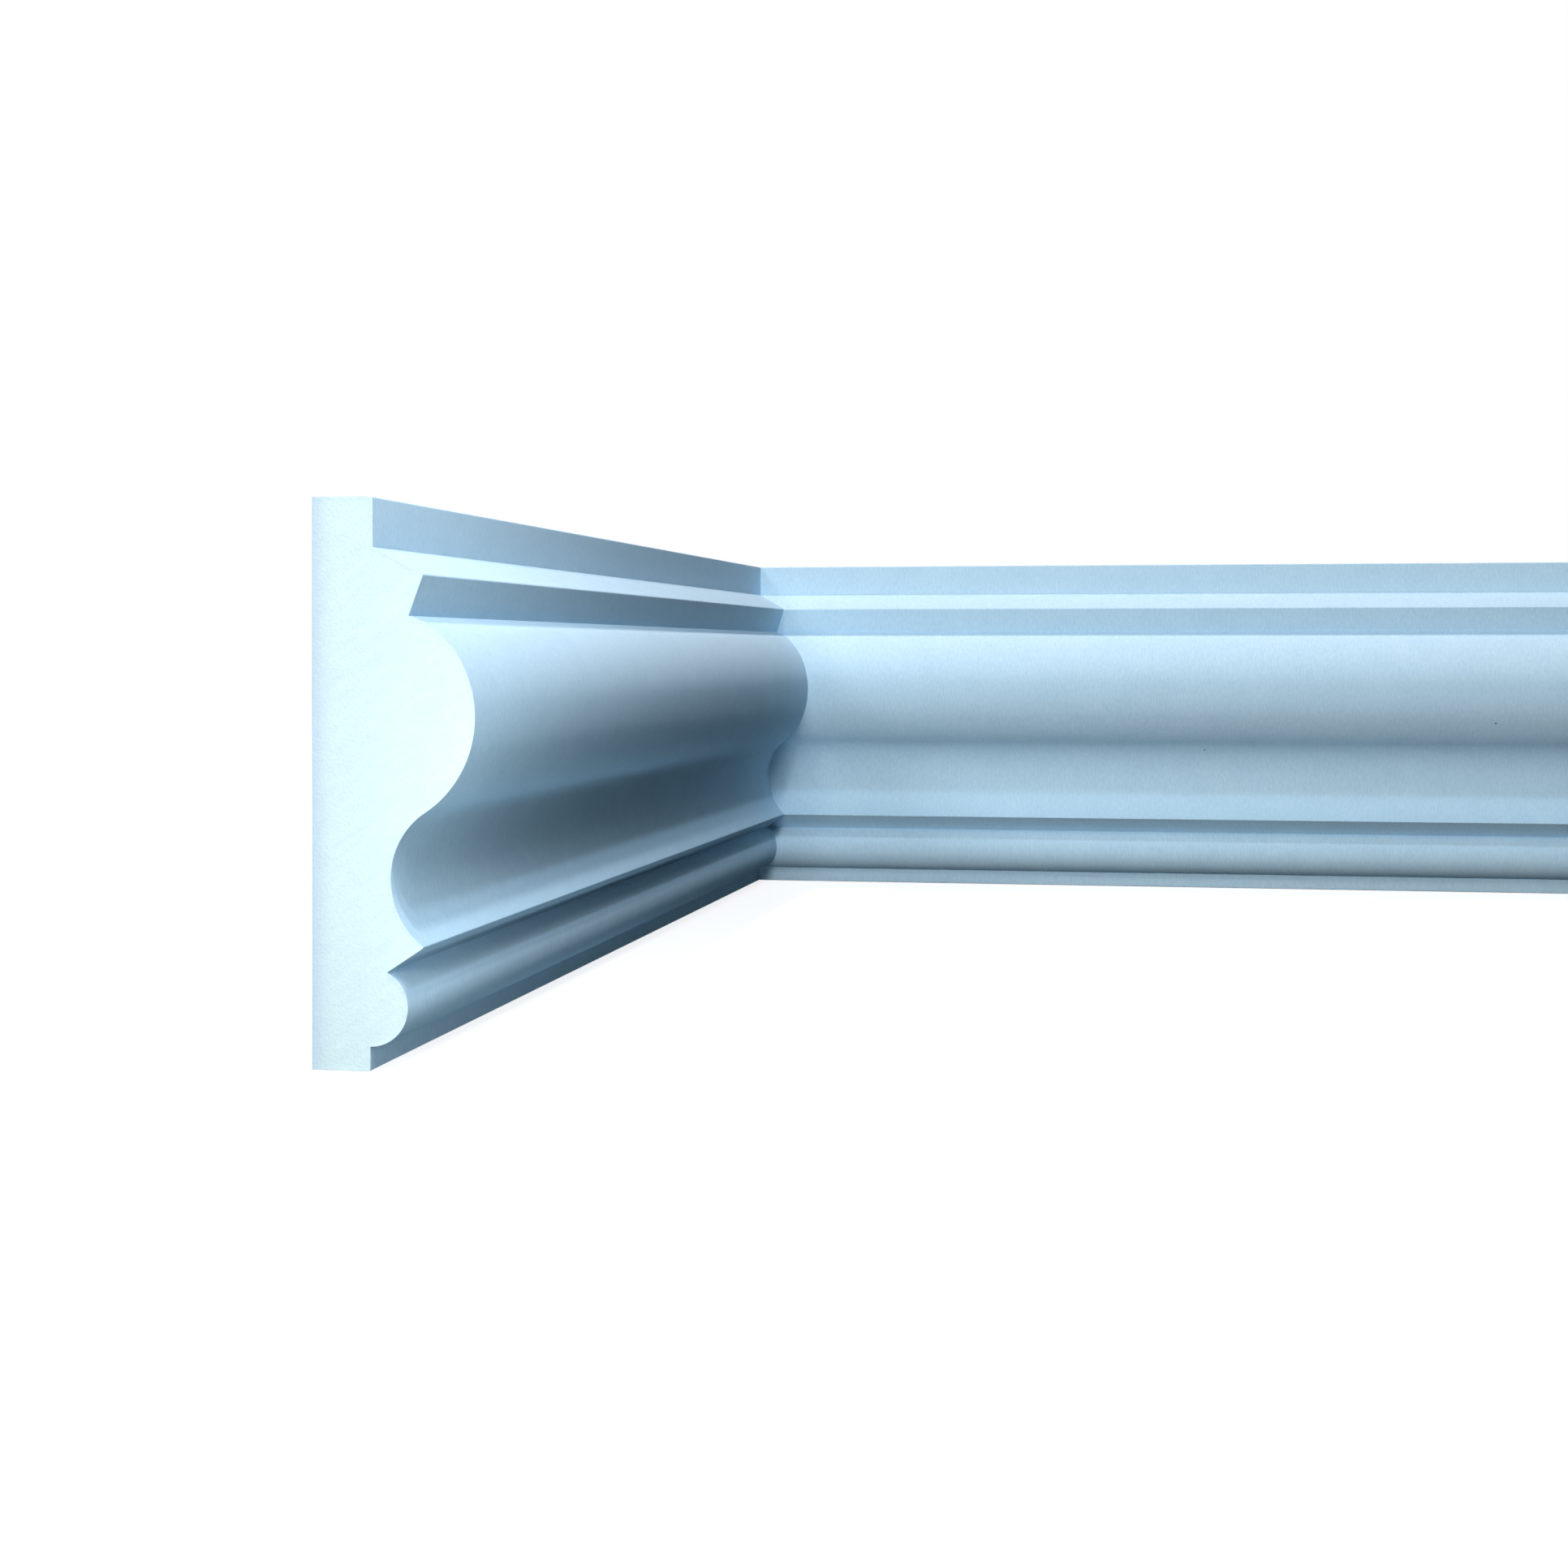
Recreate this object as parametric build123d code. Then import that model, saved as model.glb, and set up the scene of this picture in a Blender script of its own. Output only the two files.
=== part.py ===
"""Internal corner of a polystyrene wall moulding: two lengths of one profile, mitred into each other.

Millimetres, +Z up. The origin is the foot of the wall corner, where the two back faces meet on the floor.
The long run lies along +X with its back on the plane Y = 0, and the short return comes forward along -Y
with its back on the plane X = 0. Both stand on the bottom edge of the profile, as they would on a wall.
"""

from build123d import *
from math import atan2, cos, degrees, radians, sin
import os

# Lengths of the two runs, taken along their back faces from the wall corner to the square-cut end
long_run_length = 2000.0
short_return_length = 370.0

# The profile is a stack of members. Heights are listed from the bottom up and add up to the full height,
# and each projection is measured from the wall.
base_projection = 10.7        # bottom fillet
base_height = 4.3
bead_radius = 6.8             # half-round bead, planted on the face of the bottom fillet
bead_wrap_angle = 64.0        # how far above level the bead runs before the quirk under the lip cuts it off
lip_projection = 20.45        # arris under the cove
lip_rise = 4.5                # from the quirk up to the lip
cove_projection = 14.4        # deepest point of the hollow
cove_rise = 11.9              # from the lip up to the deepest point
belly_projection = 29.6       # fullest point of the round
belly_rise = 28.0             # from the deepest point up to the fullest
belly_radius = 19.75
shoulder_angle = 50.0         # how far above level the belly keeps its radius before the shoulder tightens
quirk_projection = 17.6       # upper quirk, where the shoulder starts
quirk_rise = 17.55            # from the fullest point up to the upper quirk
nose_projection = 20.3        # sharp nose over the upper quirk
nose_rise = 7.2
cap_projection = 11.1         # flat cap fillet along the top edge
weathering_rise = 4.8         # slope from the nose back to the cap fillet
cap_height = 8.8
arris_radius = 0.35           # softening of the outward edges


def on_circle(centre, radius, angle):
    """The point of a circle at an angle above the level line pointing away from the wall, in degrees."""
    return centre[0] + radius * cos(radians(angle)), centre[1] + radius * sin(radians(angle))


def ogee(lip, cove, belly, quirk):
    """The double curve over the lip: a hollow, a full round and a tighter shoulder, all running on tangentially.

    Hollow and round are two arcs that are upright at the cove and at the belly, so their radii add up to a
    fixed sum, and they meet where the line between their centres crosses them.
    """
    across, up = belly[0] - cove[0], belly[1] - cove[1]
    both_radii = (across**2 + up**2) / (2 * across)
    belly_centre = (belly[0] - belly_radius, belly[1])
    waist_angle = -degrees(atan2(up, both_radii - across))
    waist = on_circle(belly_centre, belly_radius, waist_angle)
    shoulder = on_circle(belly_centre, belly_radius, shoulder_angle)
    shoulder_slope = (-sin(radians(shoulder_angle)), cos(radians(shoulder_angle)))
    return [
        TangentArc(cove, lip, tangent=(0, -1)),
        TangentArc(cove, waist, tangent=(0, 1)),
        TangentArc(belly, waist, tangent=(0, -1)),
        TangentArc(belly, shoulder, tangent=(0, 1)),
        TangentArc(shoulder, quirk, tangent=shoulder_slope),
    ]


def profile():
    """The section as a face: X is the projection from the wall, Y the height above the bottom edge."""
    bead_centre = (base_projection, base_height + bead_radius)
    bead_foot = (base_projection, base_height)
    bead_crown = on_circle(bead_centre, bead_radius, 0)
    bead_quirk = on_circle(bead_centre, bead_radius, bead_wrap_angle)
    lip = (lip_projection, bead_quirk[1] + lip_rise)
    cove = (cove_projection, lip[1] + cove_rise)
    belly = (belly_projection, cove[1] + belly_rise)
    quirk = (quirk_projection, belly[1] + quirk_rise)
    nose = (nose_projection, quirk[1] + nose_rise)
    cap_foot = (cap_projection, nose[1] + weathering_rise)
    cap_top = (cap_projection, cap_foot[1] + cap_height)
    base_corner = (base_projection, 0)

    outline = Curve() + [
        Polyline(bead_foot, base_corner, (0, 0), (0, cap_top[1]), cap_top, cap_foot, nose, quirk),
        ThreePointArc(bead_foot, bead_crown, bead_quirk),
        Line(bead_quirk, lip),
        *ogee(lip, cove, belly, quirk),
    ]
    section = make_face(outline)
    arrises = [section.vertices().sort_by_distance(corner)[0] for corner in (base_corner, lip, nose, cap_top)]
    return fillet(arrises, arris_radius)


def mitred(section_plane, length, kept_side):
    """One run: the profile drawn out from the wall corner and cut back there along the 45 degree mitre."""
    run = extrude(section_plane * profile(), amount=length)
    mitre = Plane(origin=section_plane.origin, z_dir=(1, 1, 0))
    return split(run, bisect_by=mitre, keep=kept_side)


def short_return():
    """The run that comes forward along -Y. Its section faces +X."""
    section_plane = Plane(origin=(0, 0, 0), x_dir=(1, 0, 0), z_dir=(0, -1, 0))
    return mitred(section_plane, short_return_length, Keep.BOTTOM)


def long_run():
    """The run that goes off along +X. Its section faces -Y, so its plane looks along -X, against the run."""
    section_plane = Plane(origin=(0, 0, 0), x_dir=(0, -1, 0), z_dir=(-1, 0, 0))
    return mitred(section_plane, -long_run_length, Keep.TOP)


os.makedirs("parts", exist_ok=True)
export_step(short_return(), "parts/short_return.step")
export_step(long_run(), "parts/long_run.step")
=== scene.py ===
"""The looks of a mitred internal corner in foam polystyrene wall moulding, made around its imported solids."""

from math import atan2, ceil, cos, radians, sin

import bmesh
import bpy
from mathutils import Matrix, Vector, noise


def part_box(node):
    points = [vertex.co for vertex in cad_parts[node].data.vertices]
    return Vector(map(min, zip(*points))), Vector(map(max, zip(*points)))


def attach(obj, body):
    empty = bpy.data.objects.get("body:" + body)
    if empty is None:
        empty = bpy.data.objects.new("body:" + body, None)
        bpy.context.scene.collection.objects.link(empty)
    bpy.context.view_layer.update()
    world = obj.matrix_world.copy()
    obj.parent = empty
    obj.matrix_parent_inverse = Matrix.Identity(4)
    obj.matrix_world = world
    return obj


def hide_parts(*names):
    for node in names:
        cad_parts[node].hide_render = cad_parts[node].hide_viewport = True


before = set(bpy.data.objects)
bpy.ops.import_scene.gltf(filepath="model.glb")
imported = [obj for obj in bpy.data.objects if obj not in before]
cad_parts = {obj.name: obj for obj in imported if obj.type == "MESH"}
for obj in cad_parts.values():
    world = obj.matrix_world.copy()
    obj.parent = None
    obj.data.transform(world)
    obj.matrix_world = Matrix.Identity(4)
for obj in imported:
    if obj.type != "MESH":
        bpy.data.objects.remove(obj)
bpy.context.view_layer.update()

# The camera
# It stands in front of the square-cut end, a little under the top edge, and looks along the short return
# into the corner. It is held level, and the lens is shifted down, so that the uprights stay upright.
camera = bpy.data.objects.new("camera", bpy.data.cameras.new("camera"))
camera.location = (0.1565, -0.7712, 0.0729)
camera.rotation_euler = (radians(90), 0, radians(10.277))
camera.data.sensor_width = 36
camera.data.lens = 55.59
camera.data.shift_y = -0.0842
camera.data.clip_start = 0.01
bpy.context.scene.collection.objects.link(camera)
bpy.context.scene.camera = camera


# The two lengths of moulding
# Extruded polystyrene foam, drawn through a die as one profile and cut with a fine saw: square at the free
# ends, and at 45 degrees in the corner, where the lengths are glued face to face.
mm = 0.001

base_projection = 10.7
base_height = 4.3
bead_radius = 6.8
bead_wrap_angle = 64.0
lip_projection = 20.45
lip_rise = 4.5
cove_projection = 14.4
cove_rise = 11.9
belly_projection = 29.6
belly_rise = 28.0
belly_radius = 19.75
shoulder_angle = 50.0
quirk_projection = 17.6
quirk_rise = 17.55
nose_projection = 20.3
nose_rise = 7.2
cap_projection = 11.1
weathering_rise = 4.8
cap_height = 8.8
arris_radius = 0.35

facet_length = 0.4            # along the curved members of the outline
crease_angle = 20.0           # edges that turn further than this stay crisp

net_pitch = 0.5               # spacing of the net that carries the torn grain of a sawn end
sound_rim = 0.25              # the denser skin holds the edge of the cut, and the grain stops this far inside
tear_depth = 0.06             # how deep the saw tears the foam
tear_length = 4.5             # along a torn streak
tear_width = 1.3              # and across it
saw_slope = 38.0              # the torn streaks rise this steeply away from the wall
cell_size = 0.5               # closed cells that the saw opens
wall_shade_depth = 4.5            # how far the painted shade, darker and bluish beside the wall, reaches into a sawn end

die_line_pitch = 1.2          # faint scores that the die leaves along the skin
cloud_size = 9.0              # slow change of tone over the skin
grain_length = 1.4            # the skin's fine grain, longer round the profile
grain_width = 0.5             # than along the run
speck_spacing = 25.0
speck_radius = 0.3
speck_blur = 0.15             # beyond the radius


def at(projection, height):
    """A point of the section, which is drawn across the short return."""
    return Vector((projection, 0, height))


def line_to(outline, tip, end):
    """Draws a straight member from the tip of the outline and returns its far end."""
    grown = bmesh.ops.extrude_vert_indiv(outline, verts=[tip])
    new_tip = grown["verts"][0]
    new_tip.co = end
    return new_tip


def arc_to(outline, tip, end, leaving=None, arriving=None):
    """Draws a round member to a point, given its direction where it leaves the tip or where it arrives."""
    chord = end - tip.co
    if leaving is None:
        leaving = 2 * arriving.project(chord) - arriving
    leaving = leaving.normalized()
    to_centre = (chord - chord.project(leaving)).normalized()
    radius = chord.length_squared / (2 * chord.dot(to_centre))
    turn = 2 * leaving.angle(chord)
    spun = bmesh.ops.spin(
        outline,
        geom=[tip],
        cent=tip.co + radius * to_centre,
        axis=leaving.cross(chord).normalized(),
        angle=turn,
        steps=ceil(radius * turn / facet_length),
    )
    return [part for part in spun["geom_last"] if isinstance(part, bmesh.types.BMVert)][0]


def draw_section(outline):
    """The face of the profile in millimetres, from the foot of the wall round by the bead to the cap."""
    up = at(0, 1)
    bead_centre = at(base_projection, base_height + bead_radius)
    bead_quirk = bead_centre + bead_radius * at(cos(radians(bead_wrap_angle)), sin(radians(bead_wrap_angle)))
    lip = at(lip_projection, bead_quirk.z + lip_rise)
    cove = at(cove_projection, lip.z + cove_rise)
    belly = at(belly_projection, cove.z + belly_rise)
    across = belly_projection - cove_projection
    both_radii = (across**2 + belly_rise**2) / (2 * across)
    belly_centre = at(belly_projection - belly_radius, belly.z)
    waist_angle = atan2(belly_rise, across - both_radii)
    waist = belly_centre - belly_radius * at(cos(waist_angle), sin(waist_angle))
    shoulder_out = at(cos(radians(shoulder_angle)), sin(radians(shoulder_angle)))
    shoulder_along = at(-sin(radians(shoulder_angle)), cos(radians(shoulder_angle)))
    quirk = at(quirk_projection, belly.z + quirk_rise)
    nose = at(nose_projection, quirk.z + nose_rise)
    cap_foot = at(cap_projection, nose.z + weathering_rise)
    top = cap_foot.z + cap_height

    foot = outline.verts.new(at(0, 0))
    base_corner = line_to(outline, foot, at(base_projection, 0))
    tip = line_to(outline, base_corner, at(base_projection, base_height))
    tip = arc_to(outline, tip, bead_quirk, leaving=at(1, 0))
    lip_arris = line_to(outline, tip, lip)
    tip = arc_to(outline, lip_arris, cove, arriving=up)
    tip = arc_to(outline, tip, waist, leaving=up)
    tip = arc_to(outline, tip, belly, arriving=up)
    tip = arc_to(outline, tip, belly_centre + belly_radius * shoulder_out, leaving=up)
    tip = arc_to(outline, tip, quirk, leaving=shoulder_along)
    nose_arris = line_to(outline, tip, nose)
    tip = line_to(outline, nose_arris, cap_foot)
    cap_top = line_to(outline, tip, at(cap_projection, top))
    back_top = line_to(outline, cap_top, at(0, top))
    outline.edges.new((back_top, foot))
    bmesh.ops.contextual_create(outline, geom=outline.edges[:])
    bmesh.ops.bevel(
        outline,
        geom=[base_corner, lip_arris, nose_arris, cap_top],
        affect="VERTICES",
        offset=arris_radius,
        offset_type="OFFSET",
        segments=4,
        profile=0.5,
        material=-1,
    )
    return top


def tear_end(run, height):
    """Gives the sawn end the fine torn grain of cut foam, within a rim that keeps the outline as it is."""
    end = [face for face in run.faces if face.normal.y < -0.99]
    for face in end:
        face.material_index = 1
    bmesh.ops.inset_region(run, faces=end, thickness=sound_rim, use_even_offset=True)
    net = end + [edge for face in end for edge in face.edges] + [vert for face in end for vert in face.verts]
    for direction, reach in ((at(1, 0), belly_projection), (at(0, 1), height)):
        for step in range(1, ceil(reach / net_pitch)):
            place = direction * step * net_pitch
            cut = bmesh.ops.bisect_plane(run, geom=net, plane_co=place, plane_no=direction)
            net = cut["geom"]
    meshes = {part for part in net if isinstance(part, bmesh.types.BMFace)}
    for vert in [part for part in net if isinstance(part, bmesh.types.BMVert)]:
        if all(face in meshes for face in vert.link_faces):
            along = vert.co.x * cos(radians(saw_slope)) + vert.co.z * sin(radians(saw_slope))
            across = vert.co.z * cos(radians(saw_slope)) - vert.co.x * sin(radians(saw_slope))
            streak = noise.noise((along / tear_length, across / tear_width, 0))
            vert.co.y += tear_depth * (1 + streak) / 2


def draw_length(length):
    """One run of the moulding in millimetres: its back on X = 0, mitred at the corner, sawn square at -Y."""
    run = bmesh.new()
    height = draw_section(run)
    overrun = 2 * belly_projection
    bmesh.ops.translate(run, verts=run.verts[:], vec=(0, overrun, 0))
    drawn = bmesh.ops.extrude_face_region(run, geom=run.faces[:], use_keep_orig=True)
    far_end = [part for part in drawn["geom"] if isinstance(part, bmesh.types.BMVert)]
    bmesh.ops.translate(run, verts=far_end, vec=(0, -length - overrun, 0))
    cut = bmesh.ops.bisect_plane(
        run,
        geom=run.verts[:] + run.edges[:] + run.faces[:],
        plane_co=(0, 0, 0),
        plane_no=(1, 1, 0),
        clear_outer=True,
    )
    mitre_edges = [part for part in cut["geom_cut"] if isinstance(part, bmesh.types.BMEdge)]
    bmesh.ops.contextual_create(run, geom=mitre_edges)
    bmesh.ops.recalc_face_normals(run, faces=run.faces[:])
    tear_end(run, height)
    return run


def linear(hex_colour):
    """The linear colour of an sRGB hex value."""
    shares = [int(hex_colour[i:i + 2], 16) / 255 for i in (1, 3, 5)]
    return [s / 12.92 if s <= 0.04045 else ((s + 0.055) / 1.055) ** 2.4 for s in shares] + [1.0]


def add(tree, kind, settings, sockets):
    """Adds a node with its settings, and its inputs by name or number: values, or outputs of other nodes."""
    node = tree.nodes.new(kind)
    for name, value in settings.items():
        setattr(node, name, value)
    for key, value in sockets.items():
        if isinstance(value, bpy.types.NodeSocket):
            tree.links.new(value, node.inputs[key])
        else:
            node.inputs[key].default_value = value
    return node


def foam(name, turn):
    """An empty material with its shader, and coordinates turned so that X leads away from the wall."""
    material = bpy.data.materials.new(name)
    material.use_nodes = True
    tree = material.node_tree
    tree.nodes.clear()
    place = add(tree, "ShaderNodeTexCoord", {}, {}).outputs["Object"]
    rotation = (0, 0, radians(turn))
    turned = add(tree, "ShaderNodeMapping", {}, {"Vector": place, "Rotation": rotation}).outputs[0]
    shader = add(tree, "ShaderNodeBsdfPrincipled", {}, {"Roughness": 0.9, "Specular IOR Level": 0})
    add(tree, "ShaderNodeOutputMaterial", {}, {"Surface": shader.outputs[0]})
    return material, tree, shader, turned


def extruded_skin(turn):
    """The skin that the die leaves on polystyrene foam: matt, ice blue, finely grained and faintly scored."""
    material, tree, shader, turned = foam("extruded_polystyrene_skin", turn)
    line_scale = (1 / (die_line_pitch * mm), 3, 1 / (die_line_pitch * mm))
    die_lines = add(tree, "ShaderNodeMapping", {}, {"Vector": turned, "Scale": line_scale})
    scores = add(tree, "ShaderNodeTexNoise", {}, {"Vector": die_lines.outputs[0], "Scale": 1, "Detail": 2})
    cloud_scale = 1 / (cloud_size * mm)
    clouds = add(tree, "ShaderNodeTexNoise", {}, {"Vector": turned, "Scale": cloud_scale, "Detail": 3})
    grain_scale = (1 / (grain_length * mm), 1 / (grain_width * mm), 1 / (grain_length * mm))
    combed = add(tree, "ShaderNodeMapping", {}, {"Vector": turned, "Scale": grain_scale})
    grain = add(tree, "ShaderNodeTexNoise", {}, {"Vector": combed.outputs[0], "Scale": 1, "Detail": 3})

    mottling = add(
        tree,
        "ShaderNodeMath",
        {"operation": "MULTIPLY_ADD"},
        {0: grain.outputs[0], 1: 3, 2: clouds.outputs[0]},
    )
    tone = add(
        tree,
        "ShaderNodeMapRange",
        {},
        {"Value": mottling.outputs[0], "From Min": 1.3, "From Max": 2.7},
    )
    colour = add(
        tree,
        "ShaderNodeMix",
        {"data_type": "RGBA"},
        {0: tone.outputs[0], 6: linear("#B5D3E7"), 7: linear("#C3DFF0")},
    )
    specks = add(tree, "ShaderNodeTexVoronoi", {}, {"Vector": turned, "Scale": 1 / (speck_spacing * mm)})
    speck = add(
        tree,
        "ShaderNodeMapRange",
        {},
        {
            "Value": specks.outputs["Distance"],
            "From Min": speck_radius / speck_spacing,
            "From Max": (speck_radius + speck_blur) / speck_spacing,
            "To Min": 0.6,
            "To Max": 0,
        },
    )
    specked = add(
        tree,
        "ShaderNodeMix",
        {"data_type": "RGBA"},
        {0: speck.outputs[0], 6: colour.outputs[2], 7: linear("#4F5A66")},
    )
    tree.links.new(specked.outputs[2], shader.inputs["Base Color"])

    fine = add(tree, "ShaderNodeBump", {}, {"Height": grain.outputs[0], "Distance": 0.03 * mm})
    scored = add(
        tree,
        "ShaderNodeBump",
        {},
        {"Height": scores.outputs[0], "Distance": 0.008 * mm, "Normal": fine.outputs[0]},
    )
    tree.links.new(scored.outputs[0], shader.inputs["Normal"])
    return material


def sawn_foam(turn):
    """The cells that a fine saw opens: whiter than the skin, with faint streaks along the cut, and a painted
    shade, darker and bluish, beside the wall.
    """
    material, tree, shader, turned = foam("sawn_polystyrene_foam", turn)
    sloped = add(tree, "ShaderNodeMapping", {}, {"Vector": turned, "Rotation": (0, radians(saw_slope), 0)})
    stretched = add(
        tree,
        "ShaderNodeMapping",
        {},
        {"Vector": sloped.outputs[0], "Scale": (1 / (tear_length * mm), 1, 1 / (tear_width * mm))},
    )
    streaks = add(tree, "ShaderNodeTexNoise", {}, {"Vector": stretched.outputs[0], "Scale": 1, "Detail": 3})
    cells = add(tree, "ShaderNodeTexVoronoi", {}, {"Vector": turned, "Scale": 1 / (cell_size * mm)})
    colour = add(
        tree,
        "ShaderNodeMix",
        {"data_type": "RGBA"},
        {0: streaks.outputs[0], 6: linear("#D9F1FB"), 7: linear("#E7FCFF")},
    )
    # Painted shade: the sawn end's colour turns darker and bluish towards the wall, and fades out a few
    # millimetres inside.
    reach = add(tree, "ShaderNodeSeparateXYZ", {}, {"Vector": turned})
    wall_shade_ramp = add(
        tree,
        "ShaderNodeMapRange",
        {},
        {"Value": reach.outputs["X"], "From Min": 0, "From Max": wall_shade_depth * mm, "To Min": 1, "To Max": 0},
    )
    edge = add(tree, "ShaderNodeMath", {"operation": "POWER"}, {0: wall_shade_ramp.outputs[0], 1: 2})
    wall_shaded = add(
        tree,
        "ShaderNodeMix",
        {"data_type": "RGBA"},
        {0: edge.outputs[0], 6: colour.outputs[2], 7: linear("#C9DEF1")},
    )
    tree.links.new(wall_shaded.outputs[2], shader.inputs["Base Color"])
    torn = add(tree, "ShaderNodeBump", {}, {"Height": streaks.outputs[0], "Distance": 0.06 * mm})
    open_cells = add(
        tree,
        "ShaderNodeBump",
        {},
        {"Height": cells.outputs["Distance"], "Distance": 0.03 * mm, "Normal": torn.outputs[0]},
    )
    tree.links.new(open_cells.outputs[0], shader.inputs["Normal"])
    return material


for node, turn in (("short_return", 0), ("long_run", 90)):
    low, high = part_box(node)
    extent = high - low
    run = draw_length(max(extent) / mm)
    bmesh.ops.scale(run, verts=run.verts[:], vec=(mm, mm, mm))
    if node == "long_run":
        across_the_mitre = Matrix(((0, -1, 0, 0), (-1, 0, 0, 0), (0, 0, 1, 0), (0, 0, 0, 1)))
        bmesh.ops.transform(run, matrix=across_the_mitre, verts=run.verts[:])
        bmesh.ops.recalc_face_normals(run, faces=run.faces[:])
    for edge in run.edges:
        edge.smooth = edge.calc_face_angle(0) < radians(crease_angle)
    for face in run.faces:
        face.smooth = True
    mesh = bpy.data.meshes.new(node + "_foam")
    run.to_mesh(mesh)
    run.free()
    mesh.materials.append(extruded_skin(turn))
    mesh.materials.append(sawn_foam(turn))
    piece = bpy.data.objects.new(node + "_foam", mesh)
    bpy.context.scene.collection.objects.link(piece)
    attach(piece, "root")
    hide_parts(node)


# The floor
# A wide sheet of white acrylic that the moulding stands on, clear to a lamp below it. It shows white to the
# camera and keeps the soft shadow, fades into the backdrop, and throws little light back at the foam.
floor_mesh = bpy.data.meshes.new("floor")
sheet = bmesh.new()
bmesh.ops.create_grid(sheet, x_segments=1, y_segments=1, size=20)
bmesh.ops.translate(sheet, verts=sheet.verts[:], vec=(0, 0, -0.1 * mm))
sheet.to_mesh(floor_mesh)
sheet.free()
floor = bpy.data.objects.new("floor", floor_mesh)
bpy.context.scene.collection.objects.link(floor)
floor.visible_shadow = False

acrylic = bpy.data.materials.new("white_table_acrylic")
floor_mesh.materials.append(acrylic)
acrylic.use_nodes = True
tree = acrylic.node_tree
tree.nodes.clear()


def seen_directly(tree):
    """One for rays of the camera, of gloss and of glass, nought for the light that a surface throws on."""
    path = add(tree, "ShaderNodeLightPath", {}, {})
    direct = add(
        tree,
        "ShaderNodeMath",
        {"operation": "MAXIMUM"},
        {0: path.outputs["Is Camera Ray"], 1: path.outputs["Is Glossy Ray"]},
    )
    return add(
        tree,
        "ShaderNodeMath",
        {"operation": "MAXIMUM"},
        {0: direct.outputs[0], 1: path.outputs["Is Transmission Ray"]},
    ).outputs[0]


place = add(tree, "ShaderNodeTexCoord", {}, {}).outputs["Object"]
round_the_runs = add(
    tree,
    "ShaderNodeMapping",
    {"vector_type": "TEXTURE"},
    {"Vector": place, "Location": (0.9, -0.1, 0), "Scale": (1.5, 0.9, 1)},
)
away = add(tree, "ShaderNodeVectorMath", {"operation": "LENGTH"}, {0: round_the_runs.outputs[0]})
fade = add(
    tree,
    "ShaderNodeMapRange",
    {"interpolation_type": "SMOOTHSTEP"},
    {"Value": away.outputs["Value"], "From Min": 0.6, "From Max": 1.3, "To Min": 0.82, "To Max": 1},
)
glow = add(tree, "ShaderNodeEmission", {}, {"Color": linear("#FFFFFF"), "Strength": fade.outputs[0]})
lit = add(tree, "ShaderNodeBsdfDiffuse", {}, {"Color": linear("#9C9FA1")})
shown = add(tree, "ShaderNodeAddShader", {}, {0: glow.outputs[0], 1: lit.outputs[0]})
dull = add(tree, "ShaderNodeBsdfDiffuse", {}, {"Color": linear("#1E2326")})
sheet_shader = add(
    tree, "ShaderNodeMixShader", {}, {0: seen_directly(tree), 1: dull.outputs[0], 2: shown.outputs[0]}
)
add(tree, "ShaderNodeOutputMaterial", {}, {"Surface": sheet_shader.outputs[0]})


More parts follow.
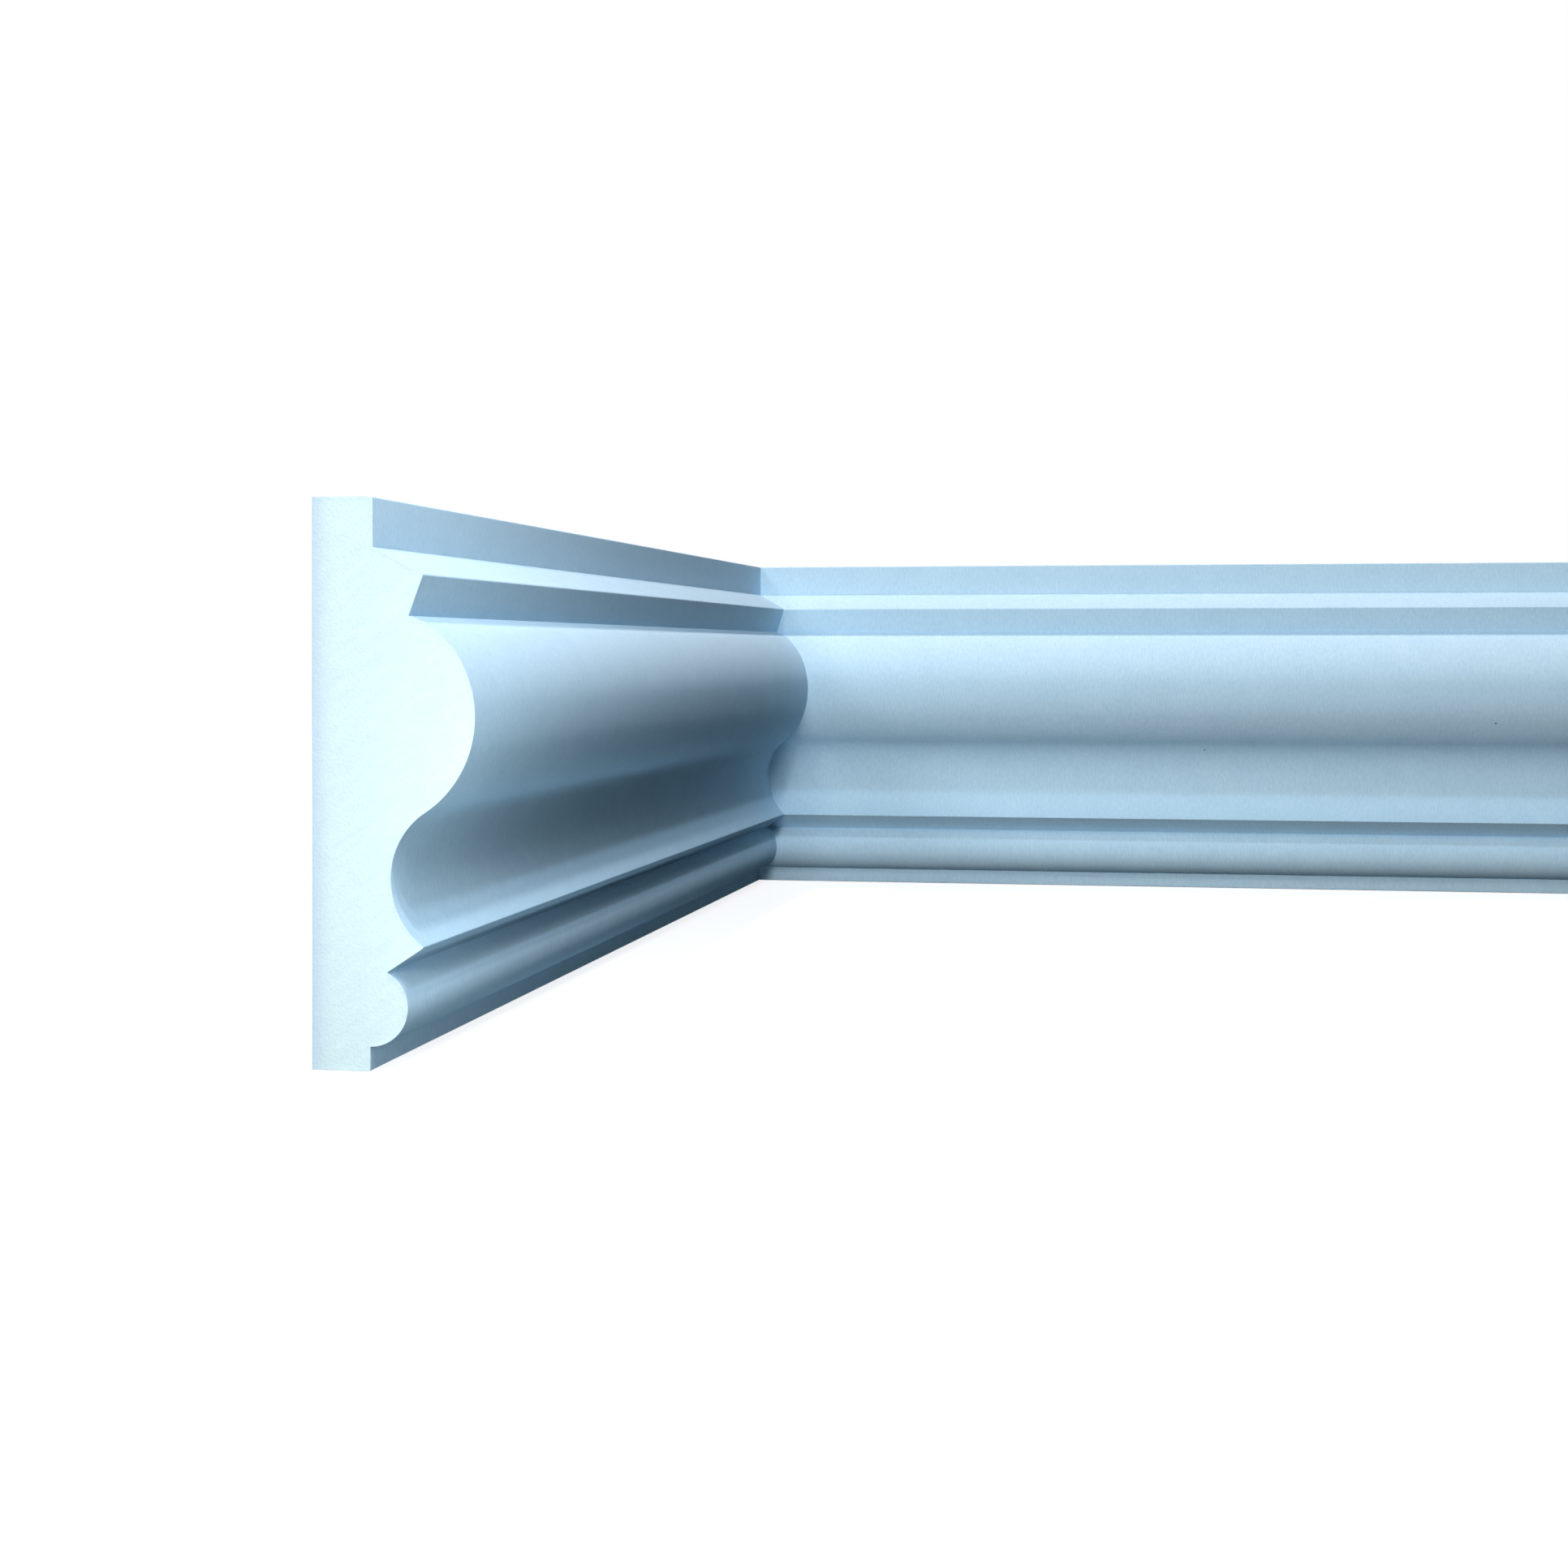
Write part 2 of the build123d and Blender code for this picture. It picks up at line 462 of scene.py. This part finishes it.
# The studio
# One box stands behind the camera and two hang high over the room and the corner. Small ones round the short
# return draw the shadows of its members, and one of them stands under the clear table. Five more light the far
# run, its end and the backs, which the camera doesn't see. Those behind are mostly lower than the moulding.
everywhere = 180
return_middle = (0.03, -0.25, 0.05)
for name, spot, aim, width, depth, spread, watts, tint in (
    ("behind_the_camera", (0.1, -1.6, 0.3), return_middle, 0.2, 0.2, everywhere, 9.9, "#FFFFFA"),
    ("over_the_room", (0.84, -0.96, 1.83), return_middle, 0.11, 0.11, everywhere, 9.4, "#DEEFFF"),
    ("over_the_corner", (-0.05, 0.05, 1.1), (0.05, -0.2, 0.05), 0.12, 0.12, everywhere, 7.6, "#FFF0EB"),
    ("behind_the_return", (-0.15, -0.35, 0.3), return_middle, 0.08, 0.08, everywhere, 0.45, "#FFFFFF"),
    ("over_the_return", (0.105, -0.405, 0.28), return_middle, 0.015, 0.015, everywhere, 0.26, "#FFFFFF"),
    ("before_the_cut_end", (0.13, -0.5, 0.22), return_middle, 0.05, 0.05, everywhere, 0.192, "#F2F7FF"),
    ("low_card", (0.09, -0.4, 0.03), return_middle, 0.1, 0.05, everywhere, 0.043, "#EDFAFF"),
    ("under_the_table", (0.03, -0.3, -0.2), return_middle, 0.05, 0.05, everywhere, 0.115, "#C6E8FF"),
    ("before_the_far_run", (1.6, -1.2, 0.6), (1.6, 0, 0.05), 0.6, 0.4, 65, 1.8, "#FFFFFF"),
    ("over_the_far_run", (1.5, -0.1, 1.2), (1.5, -0.1, 0.05), 0.8, 0.3, 70, 1.5, "#FFFFFF"),
    ("beyond_the_far_end", (2.6, 0.5, 0.06), (2, 0, 0.05), 0.2, 0.06, everywhere, 5, "#FFFFFF"),
    ("behind_the_far_run", (1.2, 0.9, 0.06), (1.2, 0, 0.05), 1.5, 0.06, everywhere, 6, "#FFFFFF"),
    ("behind_the_corner", (-0.7, 0.5, 0.4), (0, -0.1, 0.05), 0.3, 0.3, 80, 3, "#FFFFFF"),
):
    light = bpy.data.lights.new(name, "AREA")
    light.shape = "RECTANGLE"
    light.size = width
    light.size_y = depth
    light.spread = radians(spread)
    light.energy = watts
    light.color = linear(tint)[:3]
    lamp = bpy.data.objects.new(name, light)
    lamp.location = spot
    lamp.rotation_euler = (Vector(spot) - Vector(aim)).to_track_quat("Z", "Y").to_euler()
    lamp.visible_camera = False
    bpy.context.scene.collection.objects.link(lamp)

world = bpy.data.worlds.new("studio")
bpy.context.scene.world = world
world.use_nodes = True
tree = world.node_tree
tree.nodes.clear()
dim = add(tree, "ShaderNodeBackground", {}, {"Color": linear("#BFD4E8"), "Strength": 0.005})
white = add(tree, "ShaderNodeBackground", {}, {"Color": linear("#FFFFFF"), "Strength": 1})
backdrop = add(
    tree, "ShaderNodeMixShader", {}, {0: seen_directly(tree), 1: dim.outputs[0], 2: white.outputs[0]}
)
add(tree, "ShaderNodeOutputWorld", {}, {"Surface": backdrop.outputs[0]})
bpy.context.scene.view_settings.view_transform = "Standard"
